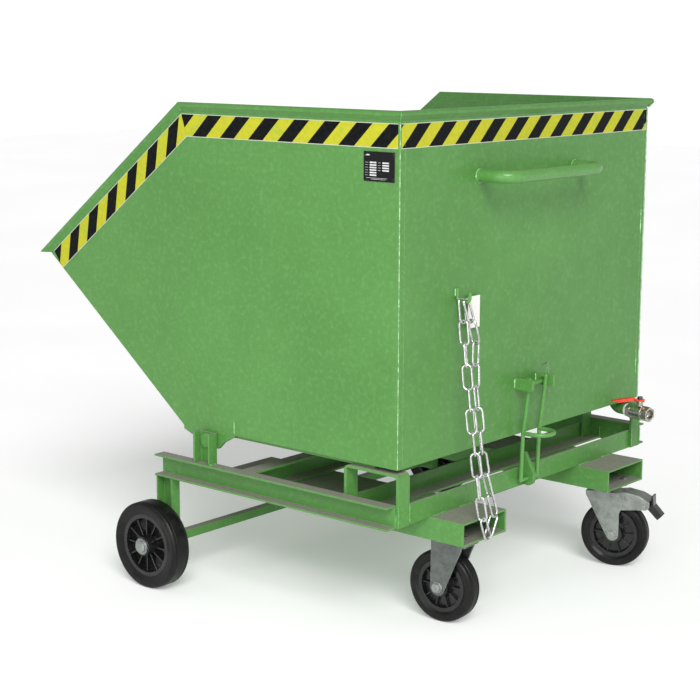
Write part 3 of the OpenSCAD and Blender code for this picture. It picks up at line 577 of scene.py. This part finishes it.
def painted_highlight_beads():
    """Painted highlights: beads on the two upright folds of the rear wall and the shiniest stretches
    of weld near them.
    """
    fold_x, fold_y = WALL - 0.4 * MM, SIDE - 0.4 * MM
    beads = both((fold_x, fold_y, FLOOR_Z + 2 * MM), (fold_x, fold_y, RIM_Z - 2 * MM), radius=FOLD)
    # painted highlights on stretches of the right-hand seam, as heights above the tank's underside
    glint_x, wall_x = WALL + 0.2 * MM, WALL + 0.3 * MM
    for low, high in ((62, 120), (405, 463), (655, 668)):
        beads.append(straight((glint_x, SEAM_Y, FLOOR_Z + low * MM),
                              (glint_x, SEAM_Y, FLOOR_Z + high * MM), SEAM_GLINT))
    # a painted highlight on the stretch of each handle ring that catches the light, as points of the
    # ring
    lit = slice(4, 13)
    beads += [(ring[lit], RING_GLINT, False) for ring in handle_rings(1.5 * MM, 1.6 * MM)]
    # painted highlights on both faces of the two catch plates
    lo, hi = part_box("catch_plates")
    for middle in (lo.y + 3 * MM, hi.y - 3 * MM):
        for y in (middle - 3.3 * MM, middle + 3.3 * MM):
            beads.append(straight((wall_x, y, lo.z + 3 * MM), (wall_x, y, hi.z - 2 * MM), SLIM))
    # painted highlights on both sides of the chain hook
    lo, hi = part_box("chain_hook")
    for y in (lo.y, hi.y):
        beads.append(straight((wall_x, y, hi.z - 17 * MM), (wall_x, y, hi.z - 1 * MM), HOOK))
    # painted highlights on an upright weld at the rear end of each lug
    lug_x, lug_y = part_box("pivot_lugs")[1].x - 4 * MM, SIDE + 0.6 * MM
    beads += both((lug_x, lug_y, FLOOR_Z + 3 * MM), (lug_x, lug_y, FLOOR_Z + 30 * MM), radius=PLAIN)
    return weld_group("painted_highlight_beads", "tank", beads, "painted_highlight")


def weld_chassis():
    beads = []
    rail_lo, rail_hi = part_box("rail_left")
    web = rail_hi.y                                # inner face of the left rail's web
    under, top = rail_lo.z, rail_hi.z
    post_lo, post_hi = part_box("pivot_posts")
    leg_lo, leg_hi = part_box("wheel_legs")
    off = 0.3 * MM                                 # from a sheet to the middle of its bead
    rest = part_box("rest_brackets")[1].x + off
    for s in (1, -1):
        # three sides of each post and each wheel leg
        near, far = s * (web - 1 * MM), s * (post_lo.y + 1 * MM)
        for lo, hi, z in ((post_lo, post_hi, top + 0.4 * MM), (leg_lo, leg_hi, under - 0.4 * MM)):
            for x in (lo.x - off, hi.x + off):
                beads.append(straight((x, near, z), (x, far, z), HEAVY))
            beads.append(straight((lo.x, s * (web + off), z), (hi.x, s * (web + off), z), PLAIN))
        for y in (s * (web + 0.4 * MM), s * (web + 38 * MM)):
            beads.append(straight((rest, y, under + 6 * MM), (rest, y, top - 3 * MM), SLIM))
    # cross members to the rail webs
    for node in ("cross_front", "cross_rear", "rear_plate"):
        lo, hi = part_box(node)
        for s in (1, -1):
            y = s * (web + 0.5 * MM)
            for x in (lo.x, hi.x):
                beads.append(straight((x, y, lo.z + 2 * MM), (x, y, lo.z + 30 * MM), PLAIN))
    # fork pockets to the rear plate
    for side in ("left", "right"):
        lo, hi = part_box("fork_pocket_" + side)
        x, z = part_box("rear_plate")[1].x + off, hi.z + off
        for start, end in ((lo.y + 8 * MM, lo.y + 52 * MM), (hi.y - 52 * MM, hi.y - 8 * MM)):
            beads.append(straight((x, start, z), (x, end, z), BROAD))
    # latch lug
    lo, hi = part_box("latch_lug")
    x = lo.x + 0.5 * MM
    for y in (lo.y - off, hi.y + off):
        beads.append(straight((x, y, lo.z + 10 * MM), (x, y, lo.z + 42 * MM), PLAIN))
    # a square around each end of the axle, on the legs
    axle_lo, axle_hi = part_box("axle_bar")
    x, z, half = (axle_lo.x + axle_hi.x) / 2, (axle_lo.z + axle_hi.z) / 2, 10 * MM
    for s in (1, -1):
        square = [(x + a * half, s * (web + 0.6 * MM), z + b * half)
                  for a, b in ((-1, -1), (1, -1), (1, 1), (-1, 1))]
        beads.append((square, PLAIN, True))
    return weld_group("chassis_welds", "chassis", beads)


def tape_strip(bm, uv, origin, along, down, outward, run, skew=(0.0, 0.0), phase=0.0, stretch=1.0):
    """A strip of tape over a run (from, to) along an edge, with UVs in metres along and across it.

    The skews move the lower corners of its two ends along.
    """
    (s0, s1), (skew0, skew1) = run, skew
    rows, steps = 4, max(2, round((s1 - s0) / TAPE_STEP))
    grid = []
    for i in range(steps + 1):
        column = []
        for j in range(rows + 1):
            f, t = j / rows, i / steps
            start, end = s0 + skew0 * f, s1 + skew1 * f
            s = start + (end - start) * t
            # slight waves in the film, flatter along its edges
            wave = TAPE_WAVE * math.sin(s * 31 + f * 4) * (1 if 0 < j < rows else 0.3)
            p = origin + along * s + down * (f * TAPE) + outward * (TAPE_LIFT + wave)
            column.append((bm.verts.new(p), ((s + phase) / stretch, (1 - f) * TAPE)))
        grid.append(column)
    for i in range(steps):
        for j in range(rows):
            corners = (grid[i][j], grid[i + 1][j], grid[i + 1][j + 1], grid[i][j + 1])
            face = bm.faces.new([vert for vert, _ in corners])
            for loop, (_, place) in zip(face.loops, corners):
                loop[uv].uv = place


def warning_tape():
    """Film strips on three sides, laid with the edge and mitred at the bends."""
    bm = bmesh.new()
    uv = bm.loops.layers.uv.new("tape")
    mitre = TAPE * math.tan(FALL / 2)
    gap = RIM_Z - TAPE_TOP                          # from the edge of the panels down to the tape
    level = TOP_LEN - TAPE_GAP + gap * math.tan(FALL / 2)
    low = gap / math.cos(FALL)                      # where the falling run starts, above the lip
    down = Vector((0, 0, -1))
    slope = Vector((math.cos(FALL), 0, math.sin(FALL)))
    under = Vector((math.sin(FALL), 0, -math.cos(FALL)))
    for s in (-1, 1):
        out = Vector((0, s, 0))
        corner = Vector((WALL - TAPE_GAP, s * SIDE, TAPE_TOP))
        bend = corner - Vector((level, 0, 0))
        length = (bend - Vector((LIP.x, s * SIDE, LIP.z))).dot(slope) - TAPE_LIP_GAP
        # the left side's runs go towards the rear wall, the right side's away from it
        if s < 0:
            tape_strip(bm, uv, bend, Vector((1, 0, 0)), down, out, (0.0, level), (mitre, 0.0),
                       LEFT_PHASE, LEFT_STRETCH)
            tape_strip(bm, uv, bend - slope * length, slope, under, out, (low, length), (0.0, -mitre),
                       SLOPE_PHASE - length, SLOPE_STRETCH)
        else:
            tape_strip(bm, uv, corner, Vector((-1, 0, 0)), down, out, (0.0, level), (0.0, -mitre),
                       RIGHT_PHASE)
            tape_strip(bm, uv, bend, -slope, under, out, (0.0, length - low), (mitre, 0.0),
                       RIGHT_SLOPE_PHASE)
    # the rear run stops short of both folds
    first_gap, both_gaps = 3 * MM, 9 * MM
    tape_strip(bm, uv, Vector((WALL, -SIDE + first_gap, TAPE_TOP)), Vector((0, 1, 0)), down,
               Vector((1, 0, 0)), (0.0, 2 * SIDE - both_gaps), stretch=REAR_STRETCH)
    tape = piece("warning_tape", bm, "warning_film", "tank")
    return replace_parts(tape, "hazard_tape")


def plate_fields():
    """Blank print on the rating plate: a header, two blocks of entry boxes and two foot lines."""
    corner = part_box("rating_plate")[0]
    # all in mm
    depth, top_row, pitch = 0.1, 36.4, 5.05
    box_width, box_height, bar_height, bar_up = 17, 2.9, 0.5, 1.1
    bm = bmesh.new()

    def field(x, z, width, height):
        """A thin box of print, in mm from the plate's lower left corner."""
        middle = Vector((x + width / 2, -depth / 2, z + height / 2)) * MM
        size = Matrix.Diagonal((width * MM, depth * MM, height * MM, 1))
        bmesh.ops.create_cube(bm, size=1.0, matrix=Matrix.Translation(corner + middle) @ size)

    # rows of an entry box and the short bar before it
    for box_x, bar_x, bar_width, rows in ((16, 4, 8, 6), (48.5, 37, 7, 4)):
        for row in range(rows):
            z = top_row - row * pitch
            field(box_x, z, box_width, box_height)
            field(bar_x, z + bar_up, bar_width, bar_height)
    field(3.5, 51.5, 12, 2.6)
    field(7, 6.6, 54, 0.6)
    field(20, 4.2, 36, 0.6)
    return piece("plate_fields", bm, "print_white", "tank", smooth=False)


# ---------- stage, light and camera ----------

def stage():
    bm = bmesh.new()
    bmesh.ops.create_grid(bm, x_segments=1, y_segments=1, size=FLOOR_SIZE)
    mesh = bpy.data.meshes.new("floor")
    bm.to_mesh(mesh)
    bm.free()
    floor = bpy.data.objects.new("floor", mesh)
    bpy.context.scene.collection.objects.link(floor)
    mesh.materials.append(pale_floor())


def lamp(name, place, target, width, power):
    """A square soft light."""
    light = bpy.data.lights.new(name, "AREA")
    light.shape = "RECTANGLE"
    light.size = light.size_y = width
    light.energy = power
    obj = bpy.data.objects.new(name, light)
    obj.location = place
    obj.rotation_euler = (Vector(target) - Vector(place)).to_track_quat("-Z", "Y").to_euler()
    bpy.context.scene.collection.objects.link(obj)


def studio():
    """White at the horizon and dimmer above, by the direction of the ray."""
    world = bpy.data.worlds.new("studio")
    world.use_nodes = True
    sky = world.node_tree
    glow = sky.nodes["Background"]
    glow.inputs["Color"].default_value = (1, 1, 1, 1)
    height = sky.nodes.new("ShaderNodeSeparateXYZ")
    sky.links.new(sky.nodes.new("ShaderNodeTexCoord").outputs["Generated"], height.inputs[0])
    fade = sky.nodes.new("ShaderNodeMapRange")
    sky.links.new(height.outputs["Z"], fade.inputs["Value"])
    for name, value in (("From Min", FADE_FROM), ("From Max", FADE_TO),
                        ("To Min", HORIZON), ("To Max", SKY)):
        fade.inputs[name].default_value = value
    sky.links.new(fade.outputs[0], glow.inputs["Strength"])
    return world


def light_and_camera():
    scene = bpy.context.scene
    scene.world = studio()
    scene.view_settings.view_transform = "Standard"
    sun = bpy.data.lights.new("key", "SUN")
    sun.energy = SUN_POWER
    sun.angle = SUN_ANGLE
    key = bpy.data.objects.new("key", sun)
    key.rotation_euler = Vector(SUN_DIRECTION).to_track_quat("-Z", "Y").to_euler()
    scene.collection.objects.link(key)
    lamp("fill", place=(2.3, -2.7, 0.8), target=(-0.3, 0.0, 0.4), width=0.8, power=9)
    lamp("near", place=(0.9, -1.9, 1.0), target=(0.1, -0.4, 0.7), width=1.0, power=8)
    data = bpy.data.cameras.new("camera")
    data.lens = LENS
    data.sensor_width = SENSOR
    camera = bpy.data.objects.new("camera", data)
    camera.location = CAMERA_PLACE
    camera.rotation_euler = Euler(CAMERA_TURN)
    scene.collection.objects.link(camera)
    scene.camera = camera


paint_cad_nodes()
light_and_camera()
stage()
weld_tank()
painted_highlight_beads()
weld_chassis()
warning_tape()
plate_fields()
